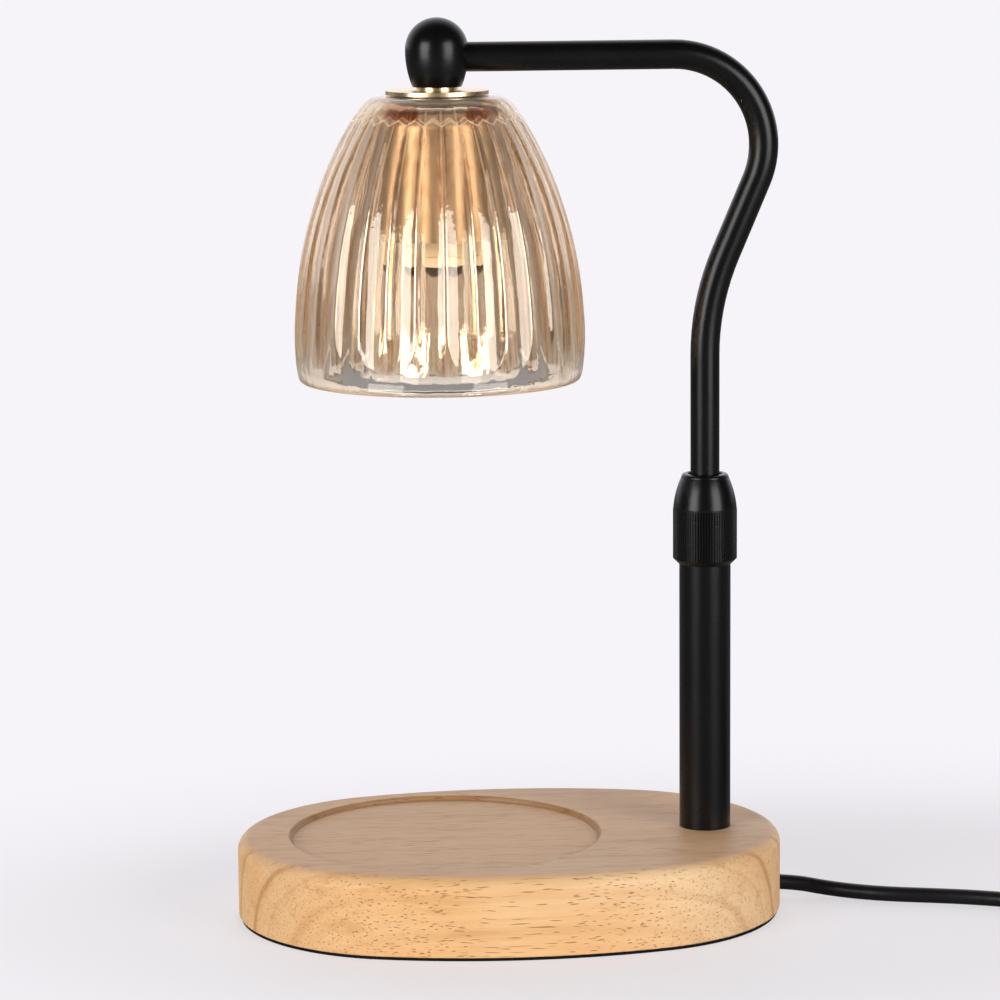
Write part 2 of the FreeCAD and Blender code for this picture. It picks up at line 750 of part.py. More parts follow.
def dimmer_shell(low, high, floor_low, floor_high, rim):
    """One half of the dimmer's case, with its cavity, cord mouths and slots for the wheel."""
    shell = dimmer_block(0.0, low, high)
    rim_edges = [edge for edge in shell.Edges
                 if abs(edge.BoundBox.ZMin - rim) < 0.01 and abs(edge.BoundBox.ZMax - rim) < 0.01]
    shell = shell.makeFillet(1.8, rim_edges)
    shell = shell.cut(dimmer_block(dimmer_wall, floor_low, floor_high))
    shell = shell.cut(dimmer_mouth(dimmer_start + 4, -1))
    shell = shell.cut(dimmer_mouth(dimmer_start + dimmer_length - 4, 1))
    window = disc(wheel_radius + 0.5, wheel_low - 0.5, wheel_low + wheel_thickness + 0.5,
                  dimmer_x, dimmer_y)
    return shell.cut(window)


def dimmer_pillars(low, high, bore, length):
    """Screw pillars that stand in the case, each with a blind bore."""
    pillars = []
    for side in (-1, 1):
        x = dimmer_x + side * pillar_along
        pillar = disc(2.8, low, high, x, dimmer_y + side * pillar_across)
        pillars.append(pillar.cut(disc(bore, length[0], length[1], x,
                                       dimmer_y + side * pillar_across)))
    return pillars


def dimmer_bottom():
    shell = dimmer_shell(0.0, dimmer_mid, dimmer_wall, dimmer_mid + 1, 0.0)
    for pillar in dimmer_pillars(0.2, dimmer_mid, 1.5, (0.1, dimmer_mid + 1)):
        shell = shell.fuse(pillar)
    for side in (-1, 1):
        x = dimmer_x + side * pillar_along
        shell = shell.cut(disc(2.3, -1.0, 1.8, x, dimmer_y + side * pillar_across))
        shell = shell.cut(disc(1.5, -1.0, dimmer_mid + 1, x, dimmer_y + side * pillar_across))
    return shell


def dimmer_top():
    top = dimmer_height
    shell = dimmer_shell(dimmer_mid, top, dimmer_mid - 1, top - dimmer_wall, top)
    for pillar in dimmer_pillars(dimmer_mid, top - 0.2, 1.2,
                                 (dimmer_mid - 1, top - dimmer_wall)):
        shell = shell.fuse(pillar)
    return shell


def dimmer_screws():
    screws = []
    for side in (-1, 1):
        x = dimmer_x + side * pillar_along
        y = dimmer_y + side * pillar_across
        head = disc(2.1, 0.5, 1.8, x, y)
        shank = disc(1.15, 1.7, dimmer_height - 3.0, x, y)
        screws.append(head.fuse(shank))
    return screws


def dimmer_wheel():
    """Flat thumb wheel with a notched edge, on the shaft of the control under it."""
    corners = []
    for notch in range(wheel_notches):
        for share, radius in ((0.0, wheel_radius - 0.5), (0.25, wheel_radius),
                              (0.75, wheel_radius)):
            angle = 2 * pi * (notch + share) / wheel_notches
            corners.append(point(dimmer_x + radius * cos(angle), dimmer_y + radius * sin(angle),
                                 wheel_low))
    wheel = Part.Face(Part.makePolygon(corners + [corners[0]]))
    wheel = wheel.extrude(point(0, 0, wheel_thickness))
    return wheel.cut(disc(control_shaft + 0.05, 0, dimmer_height, dimmer_x, dimmer_y))


def dimmer_board():
    return box((dimmer_x - 19, dimmer_x + 19), (dimmer_y - 4, dimmer_y + 4),
               (board_low - 0.8, board_low))


def dimmer_control():
    """Round control on the board, with the shaft that carries the wheel."""
    case = disc(3.9, board_low, wheel_low - 0.6, dimmer_x, dimmer_y)
    shaft = disc(control_shaft, board_low, dimmer_height - dimmer_wall - 0.4, dimmer_x, dimmer_y)
    return case.fuse(shaft)


def cord_relief(x, direction):
    """Tapered sleeve on the cord where it enters the dimmer."""
    low = cord_radius + 0.9
    inner_end = 3.0
    profile = turned(outline((0, -inner_end), (relief_neck - 0.05, -inner_end),
                             (relief_neck - 0.05, 0.4), (relief_neck + 0.6, 0.4),
                             (relief_neck + 0.6, 1.6), (low, relief_length), (0, relief_length)))
    profile = profile.cut(disc(cord_radius, -inner_end + 2, relief_length + 1))
    profile.rotate(point(0, 0, 0), point(0, 1, 0), 90 * direction)
    profile.translate(point(x, dimmer_y, dimmer_mid))
    return profile


def plug_body():
    """Moulded plug: a rounded block that narrows towards the cord."""
    sections = []
    for x, half_width, half_height in ((plug_start + 9.0, 4.4, 4.2), (plug_start + 16.0, 8.2, 7.0),
                                       (plug_start + 24.0, plug_width / 2, plug_height / 2),
                                       (plug_start + plug_length + 8, plug_width / 2 - 0.4,
                                        plug_height / 2 - 0.3)):
        sections.append(rounded_section(x, half_width, half_height, min(half_height, 4.0)))
    body = Part.makeLoft(sections, True, True)
    nose = Part.makeCylinder(4.2, 10.2, point(plug_start, plug_y, plug_mid), point(1, 0, 0))
    return body.fuse(nose)


def rounded_section(x, half_width, half_height, corner):
    """Upright rounded rectangle across the plug at a place along it."""
    slab = box((x, x + 1), (plug_y - half_width, plug_y + half_width),
               (plug_mid - half_height, plug_mid + half_height))
    edges = [edge for edge in slab.Edges if edge.BoundBox.XLength > 0.99]
    slab = slab.makeFillet(corner - 0.01, edges)
    face = [side for side in slab.Faces if side.BoundBox.XMax < x + 0.01][0]
    return face.OuterWire


def plug_blades():
    blades = []
    start = plug_start + plug_length + 8
    for side in (-1, 1):
        y = plug_y + side * blade_spacing / 2
        blade = box((start, start + 17.5), (y - 0.75, y + 0.75),
                    (plug_mid - 3.2, plug_mid + 3.2))
        edges = [edge for edge in blade.Edges
                 if edge.BoundBox.XMin > start + 17 and edge.BoundBox.YLength > 1.4]
        blades.append(blade.makeFillet(1.5, edges))
    return blades


def coil_place(turn):
    """Place on the coil's middle line after a number of turns from its outer end on the floor."""
    inward = coil_turns / 2
    way_in = min(turn, coil_turns - turn)
    radius = coil_outer - coil_pitch * way_in
    climb = min(1.0, max(0.0, (turn - inward + 0.25) / 0.5))
    angle = pi / 2 + 2 * pi * turn
    height = floor_height + coil_layer * climb
    return point(coil_x + radius * cos(angle), coil_y + radius * sin(angle), height)


def coil_heading(turn):
    step = 0.002
    heading = coil_place(min(coil_turns, turn + step)) - coil_place(max(0.0, turn - step))
    heading.normalize()
    return heading


def biarc(start, start_way, end, end_way):
    """Two arcs that leave one place and reach another along the given directions."""
    gap = end - start
    both = start_way + end_way
    a = 2 * (1 - start_way.dot(end_way))
    b = 2 * gap.dot(both)
    c = -gap.dot(gap)
    reach = -c / b if abs(a) < 1e-9 else (-b + sqrt(b * b - 4 * a * c)) / (2 * a)
    first = start + start_way * reach
    second = end - end_way * reach
    join = (first + second) * 0.5
    return [corner_arc(start, first, join), corner_arc(join, second, end)]


def corner_arc(start, corner, end):
    """Arc from start to end whose end tangents meet at the corner."""
    back = start - corner
    turn = pi - back.getAngle(end - corner)
    radius = back.Length / tan(turn / 2)
    inward = (start + end) * 0.5 - corner
    inward.normalize()
    middle = corner + inward * (radius / cos(turn / 2) - radius)
    return Part.Arc(start, middle, end).toShape()


def coil_path():
    quarters = int(round(coil_turns * 4))
    stations = [step / 4 for step in range(quarters + 1)]
    flat = point(-1, 0, 0)
    out = point(1, 0, 0)
    edges = [Part.makeLine(coil_place(0) - flat * 2 * cord_radius, coil_place(0))]
    for first, second in zip(stations, stations[1:]):
        way_in = flat if first == 0 else coil_heading(first)
        way_out = out if second == stations[-1] else coil_heading(second)
        edges += biarc(coil_place(first), way_in, coil_place(second), way_out)
    last = coil_place(coil_turns)
    edges.append(Part.makeLine(last, last + out * 2 * cord_radius))
    return Part.Wire(edges)


def least_gap(path, spacing):
    """Least clear distance of the coil's tube to itself, measured on points of its middle line."""
    places = path.discretize(Distance=spacing)
    apart = int(pi * 12.0 / spacing)
    least = 1e9
    for index, place in enumerate(places):
        for other in places[index + apart:]:
            least = min(least, place.distanceToPoint(other))
    return least - 2 * cord_radius


def base_flex():
    """Cord inside the post's foot and the base, from the foot plug to the end of the wood."""
    edge_x = base_half_length - end_radius + sqrt(end_radius ** 2 - exit_y ** 2)
    corner_x = post_x + 9.5
    path = rounded_route("base flex", [(post_x, 0, slack_bottom), (post_x, 0, exit_height),
                                       (corner_x, exit_y + 0.02, exit_height - 0.02),
                                       (edge_x, exit_y, exit_height)])
    return swept("base flex", path, cord_radius)


def build_base():
    save("base_board", screw_holes(base_board()))
    pad = oval_face(base_half_length, base_half_width, pad_inset, 0.0)
    save("base_pad", pad.extrude(point(0, 0, pad_thickness)))
    save("cord_clip", cord_clip())
    save("clip_screws", *clip_screws())
    foot = base_top - socket_depth
    save("post_tube", sleeve(post_radius, post_radius - post_wall, foot, post_top, post_x))
    save("foot_plug", sleeve(post_radius - post_wall, stud_radius, foot, foot + foot_plug_height,
                             post_x))
    save("hollow_stud", sleeve(stud_radius, stud_bore, stud_bottom, foot + foot_plug_height,
                               post_x))
    washer_low = nut_pocket_top - washer_thickness
    save("foot_washer", sleeve(11.0, stud_radius + 0.2, washer_low, nut_pocket_top, post_x))
    nut = hexagon(nut_across_flats, washer_low - foot_nut_height, washer_low, post_x)
    save("foot_nut", nut.cut(disc(stud_radius, 0, 30, post_x)))
    save("base_flex", base_flex())


def build_lock():
    save("post_ferrule", ferrule())
    save("collet", collet())
    save("pressure_ring", sleeve(7.1, neck_radius + 0.4, ring_bottom, ring_top, post_x))
    save("lock_collar", collar())


def build_neck():
    save("neck_tube", neck_tube())
    save("guide_bush", sleeve(post_radius - post_wall - 0.05, neck_radius + 0.05, bush_bottom,
                              bush_top, post_x))
    clips = [sleeve(5.9, neck_radius, bush_bottom - 0.2 - clip_thickness, bush_bottom - 0.2,
                    post_x),
             sleeve(5.9, neck_radius, bush_top + 0.2, bush_top + 0.2 + clip_thickness, post_x)]
    save("bush_clips", *clips)
    save("arm_ball", ball())
    save("neck_flex", swept("neck flex", neck_path(neck_bottom, lamp_x + 4.6), cord_radius))
    save("slack_flex", disc(slack_radius, slack_bottom, neck_bottom - 0.3, post_x))


def build_head():
    save("hanger_nipple", sleeve(nipple_radius, nipple_bore, nipple_bottom, nipple_top, lamp_x))
    flange_low = shade_top + gasket_thickness
    flange_top = flange_low + flange_thickness
    save("gold_ring", sleeve(gold_ring_radius, nipple_radius, flange_top, ball_bottom, lamp_x))
    save("gold_flange", sleeve(flange_radius, nipple_radius + 0.1, flange_low, flange_top, lamp_x))
    save("upper_gasket", sleeve(14.0, nipple_radius + 0.1, shade_top, flange_low, lamp_x))
    save("glass_shade", glass_shade())
    roof = cup_roof()
    save("lower_gasket", sleeve(12.0, nipple_radius + 0.1, roof, roof + lower_gasket_thickness,
                                lamp_x))
    save("holder_cup", holder_cup())
    under = roof - cup_wall
    nut = hexagon(nut_across_flats, under - cup_nut_height, under, lamp_x)
    save("cup_nut", nut.cut(disc(nipple_radius, 230, 260, lamp_x)))
    bridge_low = holder_top
    bridge_top = bridge_low + bridge_thickness
    bridge = box((lamp_x - bridge_width / 2 - 2, lamp_x + bridge_width / 2 + 2),
                 (-bridge_length / 2, bridge_length / 2), (bridge_low, bridge_top))
    bridge = bridge.cut(disc(nipple_radius, 230, 260, lamp_x))
    screws = []
    for side in (-1, 1):
        y = side * bridge_screw_spacing / 2
        bridge = bridge.cut(disc(1.6, 230, 260, lamp_x, y))
        head = disc(2.7, bridge_top, bridge_top + 1.8, lamp_x, y)
        screws.append(head.fuse(disc(1.4, holder_top - 6.0, bridge_top + 0.1, lamp_x, y)))
    save("holder_bridge", bridge)
    save("bridge_screws", *screws)
    save("lamp_holder", lamp_holder())
    save("holder_contacts", *holder_contacts())
    save("holder_leads", *holder_leads())


def build_bulb():
    save("bulb_reflector", bulb_reflector())
    save("bulb_lens", bulb_lens())
    save("bulb_base", bulb_base())
    save("bulb_pins", *bulb_pins())
    save("bulb_capsule", bulb_capsule())


def build_dimmer():
    save("dimmer_bottom", dimmer_bottom())
    save("dimmer_top", dimmer_top())
    save("dimmer_screws", *dimmer_screws())
    save("dimmer_wheel", dimmer_wheel())
    save("dimmer_board", dimmer_board())
    save("dimmer_control", dimmer_control())
    save("dimmer_relief_in", cord_relief(dimmer_start, -1))
    save("dimmer_relief_out", cord_relief(dimmer_start + dimmer_length, 1))


def build_cord():
    save("cord_to_dimmer", swept("cord to dimmer",
                                 rounded_route("cord to dimmer", route_to_dimmer), cord_radius))
    save("cord_to_coil", swept("cord to coil",
                               rounded_route("cord to coil", route_to_coil), cord_radius))
    save("cord_to_plug", swept("cord to plug",
                               rounded_route("cord to plug", route_to_plug), cord_radius))
    path = coil_path()
    print("coil least gap to itself %.2f" % least_gap(path, 2.0))
    save("cord_coil", swept("coil", path, cord_radius))
    save("plug_body", plug_body())
    save("plug_blades", *plug_blades())


build_base()
build_lock()
build_neck()
build_head()
build_bulb()
build_dimmer()
build_cord()
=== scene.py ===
import bpy
from math import atan2, cos, pi, radians, sin
from mathutils import Matrix, Vector


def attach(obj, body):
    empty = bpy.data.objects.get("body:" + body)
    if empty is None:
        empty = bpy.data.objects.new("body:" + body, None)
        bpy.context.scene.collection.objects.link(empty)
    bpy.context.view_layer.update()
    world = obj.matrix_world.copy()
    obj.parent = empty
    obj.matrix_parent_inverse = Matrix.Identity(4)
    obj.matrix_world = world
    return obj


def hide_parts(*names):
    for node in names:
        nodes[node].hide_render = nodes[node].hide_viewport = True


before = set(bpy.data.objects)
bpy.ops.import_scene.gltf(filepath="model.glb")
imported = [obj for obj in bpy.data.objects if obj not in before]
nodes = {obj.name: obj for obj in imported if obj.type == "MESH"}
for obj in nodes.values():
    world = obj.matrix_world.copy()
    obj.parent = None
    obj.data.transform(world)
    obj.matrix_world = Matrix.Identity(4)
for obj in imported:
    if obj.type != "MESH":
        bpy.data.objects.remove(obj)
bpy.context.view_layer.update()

print("frame loaded,", len(nodes), "nodes")


# node helpers

class Val:
    # one output of a shader node, with ordinary arithmetic on it
    def __init__(self, net, out):
        self.net = net
        self.out = out

    def __add__(self, other):
        return self.net.math("ADD", self, other)

    def __sub__(self, other):
        return self.net.math("SUBTRACT", self, other)

    def __mul__(self, other):
        return self.net.math("MULTIPLY", self, other)

    def __pow__(self, other):
        return self.net.math("POWER", self, other)

    def __radd__(self, other):
        return self.net.math("ADD", other, self)

    def __rsub__(self, other):
        return self.net.math("SUBTRACT", other, self)

    def __rmul__(self, other):
        return self.net.math("MULTIPLY", other, self)

    def least(self, other):
        return self.net.math("MINIMUM", self, other)

    def most(self, other):
        return self.net.math("MAXIMUM", self, other)

    def step(self, low, high):
        # smooth step from 0 at low to 1 at high, which may be the smaller one
        return self.net.add("MapRange", {"interpolation_type": "SMOOTHSTEP"},
                            {"Value": self, "From Min": low, "From Max": high}, "Result")


class Net:
    # node tree of a material or of the world
    def __init__(self, owner):
        self.owner = owner
        owner.use_nodes = True
        self.tree = owner.node_tree
        self.tree.nodes.clear()

    def feed(self, socket, value):
        if isinstance(value, Val):
            self.tree.links.new(value.out, socket)
        elif socket.type == "VECTOR":
            socket.default_value = value[:3]
        else:
            socket.default_value = value

    def add(self, kind, settings=None, inputs=None, out=0):
        node = self.tree.nodes.new("ShaderNode" + kind)
        for key, value in (settings or {}).items():
            setattr(node, key, value)
        for key, value in (inputs or {}).items():
            self.feed(node.inputs[key], value)
        return Val(self, node.outputs[out])

    def math(self, how, *ends):
        return self.add("Math", {"operation": how}, dict(enumerate(ends)))

    def split(self, vector):
        first = self.add("SeparateXYZ", None, {"Vector": vector})
        return [Val(self, out) for out in first.out.node.outputs]

    def join(self, x=0.0, y=0.0, z=0.0):
        return self.add("CombineXYZ", None, {"X": x, "Y": y, "Z": z})

    def blend(self, share, first, second):
        return self.add("Mix", {"data_type": "RGBA"}, {0: share, 6: first, 7: second}, 2)

    def shade(self, color, share):
        # darkens or lightens a colour by a factor
        return self.add("VectorMath", {"operation": "SCALE"}, {0: color, "Scale": share})

    def place(self):
        return self.add("TexCoord", None, None, "Object")

    def stretched(self, place, scale, shift=(0, 0, 0)):
        return self.add("Mapping", None, {"Vector": place, "Scale": scale, "Location": shift})

    def noise(self, place, scale, detail=2.0, rough=0.5):
        return self.add("TexNoise", None, {"Vector": place, "Scale": scale, "Detail": detail,
                                           "Roughness": rough}, "Fac")

    def bump(self, height, distance):
        return self.add("Bump", None, {"Height": height, "Distance": distance,
                                       "Strength": 1.0}, "Normal")

    def principled(self, inputs):
        return self.add("BsdfPrincipled", None, inputs)

    def mixed(self, share, first, second):
        return self.add("MixShader", None, {0: share, 1: first, 2: second})

    def ray(self, kind):
        return self.add("LightPath", None, None, "Is " + kind + " Ray")

    def surface(self, shader):
        last = self.tree.nodes.new("ShaderNodeOutputMaterial")
        self.feed(last.inputs["Surface"], shader)
        return self.owner


def newNet(name):
    return Net(bpy.data.materials.new(name))


def tint(red, green, blue):
    # linear colour from display values of 0 to 255
    channels = []
    for value in (red, green, blue):
        value = value / 255
        channels.append(value / 12.92 if value < 0.04045 else ((value + 0.055) / 1.055) ** 2.4)
    return (*channels, 1.0)


# oiled wood of the base board

woodSet = {
    "pith": (-0.066, -0.008),            # Y and Z of the tree's middle, outside the board
    "pale": tint(247, 212, 164),
    "warm": tint(238, 190, 133),
    "late": tint(206, 146, 88),
    "ringLine": tint(166, 108, 60),
    "pore": tint(150, 92, 46),
    "poreStretch": (120.0, 1550.0, 1550.0),
    # painted shade: the greyer tone blended onto faces turned up
    "top": tint(224, 182, 149),
    "recess": (-0.0202, 0.0482),         # X of the round recess and the radius of its wall
    # painted shade on the recess's wall, partly its darker end grain
    "recessWallShade": tint(112, 70, 38),
    "topHeight": 0.0257,
}


def oiledWood(name, opts):
    # sawn board: growth rings round a pith that runs along X, with pores stretched along it
    net = newNet(name)
    place = net.place()
    along, across, up = net.split(place)
    wander = net.noise(net.stretched(place, (7.0, 16.0, 16.0)), 1.0, 2.0)
    sag = net.noise(net.stretched(place, (11.0, 40.0, 40.0), (3.1, 0.7, 0.2)), 1.0, 2.0)
    dy = across - opts["pith"][0] + (wander - 0.5) * 0.010
    dz = up - opts["pith"][1] + (sag - 0.5) * 0.008
    ring = (dy * dy + dz * dz) ** 0.5
    years = net.noise(net.join(ring), 190.0, 1.0)
    fine = net.noise(net.join(ring, 2.0), 720.0, 2.0, 0.6)
    band = years.step(0.44, 0.74)
    line = years.step(0.60, 0.70)
    fibre = net.noise(net.stretched(place, (26.0, 900.0, 900.0)), 1.0, 3.0, 0.6)
    cloud = net.noise(net.stretched(place, (9.0, 26.0, 26.0), (1.0, 2.0, 3.0)), 1.0, 2.0)
    streak = net.noise(net.stretched(place, (15.0, 170.0, 170.0), (5.0, 1.0, 4.0)), 1.0, 3.0, 0.65)

    # the rings show more where the board's ends are cut across them
    facing = net.split(net.add("NewGeometry", None, None, "Normal"))
    endwise = (facing[0] * facing[0]).step(0.05, 0.6)
    late = opts["late"]
    color = net.blend(cloud.step(0.30, 0.62), opts["pale"], opts["warm"])
    color = net.blend(streak.step(0.52, 0.74) * 0.45, color, late)
    color = net.blend(band * (0.28 + endwise * 0.30), color, late)
    color = net.blend(line * (0.10 + endwise * 0.25), color, opts["ringLine"])
    color = net.blend((fine - 0.35).most(0.0) * 0.5, color, late)
    color = net.blend(fibre.step(0.45, 0.75) * 0.16, color, late)

    # pores: cells stretched along the grain, only some of which hold one
    slip = net.noise(net.stretched(place, (0.0, 900.0, 900.0)), 1.0, 1.0)
    slid = net.join(along + slip * 0.06, across, up)
    cells = net.add("TexVoronoi", None, {"Vector": net.stretched(slid, opts["poreStretch"]),
                                         "Scale": 1.0}, "Distance")
    lot = net.add("SeparateColor", None,
                  {"Color": Val(net, cells.out.node.outputs["Color"])}, "Red")
    chance = 0.46 - band * 0.22
    pore = cells.step(0.34, 0.14) * (lot - chance).step(0.0, 0.02)
    color = net.blend(pore * (lot * 0.6 + 0.25), color, opts["pore"])

    # painted shade: faces turned up are blended to a greyer, darker tone for the weaker light on the
    # top, and the recess's wall is darkened, partly its darker end grain and partly painted shade
    color = net.blend(facing[2].step(0.78, 1.0) * 0.45, color, opts["top"])
    recessX, wall = opts["recess"]
    out = ((along - recessX) ** 2.0 + across * across) ** 0.5
    recessShadeMask = out.step(wall - 0.0010, wall - 0.0005) * out.step(wall + 0.0010, wall + 0.0005)
    recessShadeMask = recessShadeMask * up.step(opts["topHeight"], opts["topHeight"] - 0.0003)
    color = net.blend(recessShadeMask * 0.62, color, opts["recessWallShade"])

    grain = fibre * 0.5 - pore * 1.2 + years * 0.4
    rough = 0.50 + (fibre - 0.5) * 0.12 + pore * 0.2
    return net.surface(net.principled({"Base Color": color, "Roughness": rough,
                                       "Specular IOR Level": 0.32,
                                       "Normal": net.bump(grain, 0.00012)}))


# metal, plastic and clear pieces

def blackCoat(name, base=0.0025, rough=0.27, grit=1400.0, depth=0.00002):
    # satin black: tiny orange peel and faint patches
    net = newNet(name)
    place = net.place()
    peel = net.noise(place, grit, 2.0, 0.55)
    patch = net.noise(place, 60.0, 3.0)
    color = net.blend(patch, (base, base, base * 1.06, 1), (base * 1.5, base * 1.45, base * 1.5, 1))
    return net.surface(net.principled({"Base Color": color,
                                       "Roughness": rough + (patch - 0.5) * 0.08,
                                       "Specular IOR Level": 0.30,
                                       "Normal": net.bump(peel, depth)}))


def brushedMetal(name, color, rough, brush=(900.0, 900.0, 60.0), depth=0.00002):
    # polished or brushed metal with fine lines
    net = newNet(name)
    place = net.place()
    lines = net.noise(net.stretched(place, brush), 1.0, 3.0, 0.6)
    smear = net.noise(place, 140.0, 3.0)
    return net.surface(net.principled({"Base Color": net.shade(color, 0.86 + smear * 0.22),
                                       "Metallic": 1.0,
                                       "Roughness": rough + (smear - 0.5) * rough * 0.7,
                                       "Normal": net.bump(lines, depth)}))


def mouldedPart(name, color, rough, grit=500.0, depth=0.00005, mottle=0.12, gloss=0.5):
    # nylon, ceramic, foam and circuit board
    net = newNet(name)
    place = net.place()
    grain = net.noise(place, grit, 3.0, 0.6)
    cloud = net.noise(place, grit / 9, 2.0)
    mottled = net.shade(color, 1.0 - mottle / 2 + cloud * mottle)
    return net.surface(net.principled({"Base Color": mottled,
                                       "Roughness": rough + (grain - 0.5) * 0.1,
                                       "Specular IOR Level": gloss,
                                       "Normal": net.bump(grain, depth)}))


def clearPart(name, color, rough=0.02):
    # gasket, lens and capsule, see-through to shadow rays
    net = newNet(name)
    wave = net.noise(net.place(), 120.0, 2.0)
    glass = net.principled({"Base Color": color, "Roughness": rough,
                            "Transmission Weight": 1.0, "IOR": 1.46,
                            "Normal": net.bump(wave, 0.00003)})
    passing = net.add("BsdfTransparent", None, {"Color": color})
    return net.surface(net.mixed(net.ray("Shadow"), glass, passing))


# glass shade: a lathed wall whose outside carries hollow flutes

shadeSet = {
    "axis": (-0.0202, 0.0),
    "flutes": 30,
    "phase": -97.2,                      # degrees, where the middle of one flute lies
    "across": 16,                        # mesh columns to a flute
    "hollow": 0.0082,                    # radius of the flutes' hollow
    "share": 0.97,                       # of the pitch that the hollow takes
    # outside from the hole down to the rim: radius, height, how far the flute is cut in
    "outside": [(0.0054, 0.2553, 0), (0.0110, 0.2553, 0), (0.0168, 0.2553, 0),
                (0.0190, 0.2551, 0), (0.0212, 0.2542, 0), (0.0229, 0.2528, 0.02),
                (0.0240, 0.2514, 0.3), (0.0256, 0.2492, 0.85), (0.0277, 0.2458, 1),
                (0.0300, 0.2418, 1), (0.0323, 0.2372, 1), (0.0346, 0.2322, 1),
                (0.0366, 0.2270, 1), (0.0385, 0.2212, 1), (0.0400, 0.2162, 1),
                (0.0413, 0.2112, 1), (0.0424, 0.2058, 1), (0.0432, 0.2008, 1),
                (0.0439, 0.1952, 1), (0.0443, 0.1900, 1), (0.0446, 0.1850, 0.88),
                (0.0446, 0.1815, 0.62), (0.0445, 0.1785, 0.36), (0.0443, 0.1760, 0.14),
                (0.0441, 0.1738, 0), (0.0438, 0.1715, 0), (0.0434, 0.1697, 0),
                (0.0430, 0.1687, 0)],
    # inside from the rim back up to the hole
    "inside": [(0.0421, 0.1683, 0), (0.0409, 0.1687, 0), (0.0407, 0.1700, 0),
               (0.0412, 0.1760, 0), (0.0414, 0.1850, 0), (0.0408, 0.1960, 0),
               (0.0394, 0.2070, 0), (0.0370, 0.2170, 0), (0.0336, 0.2262, 0),
               (0.0292, 0.2355, 0), (0.0247, 0.2440, 0), (0.0212, 0.2496, 0),
               (0.0194, 0.2514, 0), (0.0170, 0.2523, 0), (0.0110, 0.2523, 0),
               (0.0054, 0.2523, 0)],
}

lustreSet = {
    "body": tint(246, 232, 214),
    "rim": tint(251, 246, 238),          # clearer glass below the flutes
    "drawn": tint(218, 180, 136),
    # painted shade of the dark lines beside the flute edges
    "paintedFlankShade": tint(180, 130, 82),
    # painted reflection in the shoulder, partly the deeper amber of the thick glass
    "poolTintAndReflection": tint(176, 98, 50),
    "sheen": tint(250, 230, 200),
    "film": tint(252, 232, 204),
    "shadow": tint(240, 220, 190),
    "rimHeights": (0.180, 0.172),        # where the clearer glass starts and is reached
    "fluteFoot": (0.1745, 0.1775),
    "fluteHead": (0.2525, 0.2500),
    "poolFoot": (0.2488, 0.2500),
    "poolHead": (0.2550, 0.2540),
    "paintedScallopGlint": (0.2476, 0.0032),         # height of the scalloped line and its rise
}


def lustreGlass(name, opts, shade):
    # champagne glass with a metallic sheen that grows towards grazing angles, pressed
    # waviness, and a shadow that lets most of the light through
    net = newNet(name)
    place = net.place()
    x, y, height = net.split(place)
    wave = net.noise(net.stretched(place, (150.0, 150.0, 30.0)), 1.0, 2.0)
    pebble = net.noise(place, 300.0, 2.0)
    drawn = net.noise(net.stretched(place, (420.0, 420.0, 16.0)), 1.0, 2.0)
    normal = net.bump(wave + pebble * 0.3, 0.0002)
    lower = height.step(*opts["rimHeights"])

    # painted highlights and painted shade: fine bright lines on the edges between the flutes and dark
    # lines beside them, standing in for the glass's refraction
    flutes = shade["flutes"]
    dx = x - shade["axis"][0]
    angle = net.math("ARCTAN2", y, dx) - radians(shade["phase"])
    part = net.math("FRACT", angle * (flutes / 2 / pi) + 0.5 + flutes)
    aside = part.least(1.0 - part)
    fluted = height.step(*opts["fluteFoot"]) * height.step(*opts["fluteHead"])
    paintedCrestGlint = aside.step(0.075, 0.02) * fluted
    paintedFlankShade = aside.step(0.05, 0.09) * aside.step(0.20, 0.11) * fluted

    # amber pools in the shoulder, painted reflection and partly the deeper amber of the thick glass,
    # and a painted highlight along the scalloped line where the flutes start
    apart = dx * dx * 1000000.0
    poolTintAndReflection = apart.step(48.0, 60.0) * apart.step(340.0, 250.0)
    poolTintAndReflection = poolTintAndReflection * height.step(*opts["poolFoot"]) * height.step(*opts["poolHead"])
    low, rise = opts["paintedScallopGlint"]
    off = (height - (aside * rise + low)) * 1000.0
    paintedScallopGlint = (off * off).step(0.16, 0.02)

    body = net.blend(lower, opts["body"], opts["rim"])
    body = net.blend(drawn.step(0.56, 0.72) * (1.0 - lower) * 0.6, body, opts["drawn"])
    body = net.blend(paintedFlankShade * drawn.step(0.36, 0.60) * 0.8, body, opts["paintedFlankShade"])
    body = net.blend(poolTintAndReflection * 0.9, body, opts["poolTintAndReflection"])
    glass = net.principled({"Base Color": body, "Roughness": 0.015,
                            "Transmission Weight": 1.0, "IOR": 1.5, "Normal": normal})
    sheen = net.principled({"Base Color": opts["sheen"], "Metallic": 1.0,
                            "Roughness": 0.10, "Normal": normal})
    grazing = net.add("Fresnel", None, {"IOR": 1.5, "Normal": normal})
    # the painted highlight lines on the flute edges raise the sheen's share
    share = (grazing * 0.35 + 0.035 + paintedCrestGlint * 0.32) * (1.0 - lower * 0.75)
    coated = net.mixed(share, glass, sheen)

    # pale film of the lustre, lit by the softboxes like any other surface
    side = net.add("LayerWeight", None, {"Blend": 0.5}, "Facing").step(0.12, 0.85)
    film = net.principled({"Base Color": opts["film"], "Roughness": 0.35, "Normal": normal})
    # the film also carries the painted highlights along the flute edges and the scalloped line
    coated = net.mixed(side * 0.30 + paintedCrestGlint * 0.05 + paintedScallopGlint * 0.35, coated, film)
    passing = net.add("BsdfTransparent", None, {"Color": opts["shadow"]})
    return net.surface(net.mixed(net.ray("Shadow"), coated, passing))


def deselect():
    if bpy.context.mode != "OBJECT":
        bpy.ops.object.mode_set(mode="OBJECT")
    bpy.ops.object.select_all(action="DESELECT")


